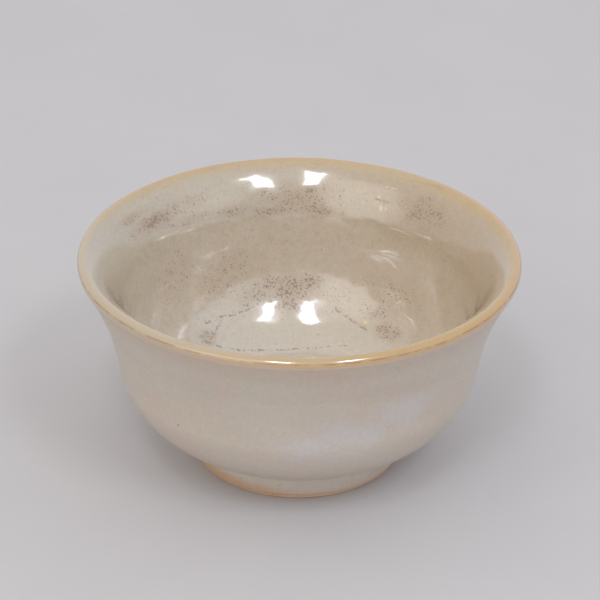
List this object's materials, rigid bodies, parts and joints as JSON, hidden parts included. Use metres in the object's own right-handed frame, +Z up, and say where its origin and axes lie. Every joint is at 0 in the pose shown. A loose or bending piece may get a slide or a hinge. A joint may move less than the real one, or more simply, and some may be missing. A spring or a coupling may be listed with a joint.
{
  "type": "sake cup",
  "caption": "Small flared stoneware sake cup on a trimmed foot ring, with a lustre-glazed hollow, an amber lip and a pearl-glazed outside.",
  "frame": {"origin": "middle of the foot ring's resting face, on the table", "axes": "+Z up along the cup's turning axis; -Y faces the picture's camera, +X is on its right"},
  "size_m": [0.08, 0.08, 0.0406],
  "materials": {
    "stoneware": "matte",
    "pearl_glaze": "satin",
    "amber_glaze": "gloss",
    "lustre_glaze": "gloss"
  },
  "bodies": {
    "root": {"bowl": "stoneware", "foot_ring": "stoneware", "outer_glaze": "pearl_glaze", "lip_glaze": "amber_glaze", "inner_glaze": "lustre_glaze", "well_glaze": "pearl_glaze"}
  },
  "joints": []
}
